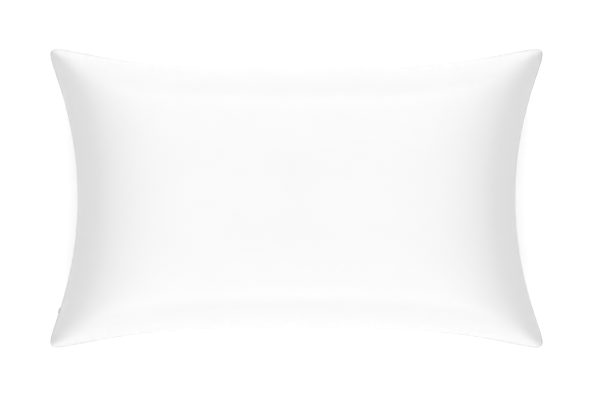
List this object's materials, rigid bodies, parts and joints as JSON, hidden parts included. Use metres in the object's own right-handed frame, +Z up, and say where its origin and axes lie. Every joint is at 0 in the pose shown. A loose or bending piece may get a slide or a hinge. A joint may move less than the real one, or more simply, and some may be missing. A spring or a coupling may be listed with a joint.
{
  "type": "bed pillow",
  "caption": "Plump bed pillow: a fibre-filled ticking in a satin case, drawn in between its corners, with a concealed zip along one short end whose slider and pull move.",
  "frame": {"origin": "on the surface that the pillow lies on, under the middle of the pillow", "axes": "+X along the pillow's length, towards the end with no zip; +Y across its width; +Z up, through the crown of the front panel"},
  "size_m": [0.7894, 0.4792, 0.188],
  "materials": {
    "case_satin": "satin",
    "sewing_thread": "satin",
    "label_ribbon": "satin",
    "zip_tape": "matt",
    "zip_coil": "gloss",
    "zip_metal": "gloss",
    "ticking_cotton": "matt",
    "fibre": "matt"
  },
  "bodies": {
    "pillow": {"case_front_panel": "case_satin", "case_back_panel": "case_satin", "case_seam_thread": "sewing_thread", "case_care_label": "label_ribbon", "zip_tape_front": "zip_tape", "zip_tape_back": "zip_tape", "zip_tape_thread_front": "sewing_thread", "zip_tape_thread_back": "sewing_thread", "zip_coil_front": "zip_coil", "zip_coil_back": "zip_coil", "zip_top_stops": "zip_metal", "zip_bottom_stop": "zip_metal", "ticking_front_panel": "ticking_cotton", "ticking_back_panel": "ticking_cotton", "ticking_seam_thread": "sewing_thread", "ticking_care_label": "label_ribbon", "fibre_fill": "fibre"},
    "zip_slider": {"zip_slider": "zip_metal"},
    "zip_pull": {"zip_pull": "zip_metal"}
  },
  "joints": [
    {"name": "zip_travel", "type": "hinge", "parent": "pillow", "child": "zip_slider", "pos_m": [-0.91814, 0, 0.088], "axis": [0, 0, 1], "range_deg": [0, 37.2]},
    {"name": "pull_swing", "type": "hinge", "parent": "zip_slider", "child": "zip_pull", "pos_m": [-0.38152, -0.18059, 0.088], "axis": [0.319, 0.9478, 0], "range_deg": [-20, 200]}
  ]
}
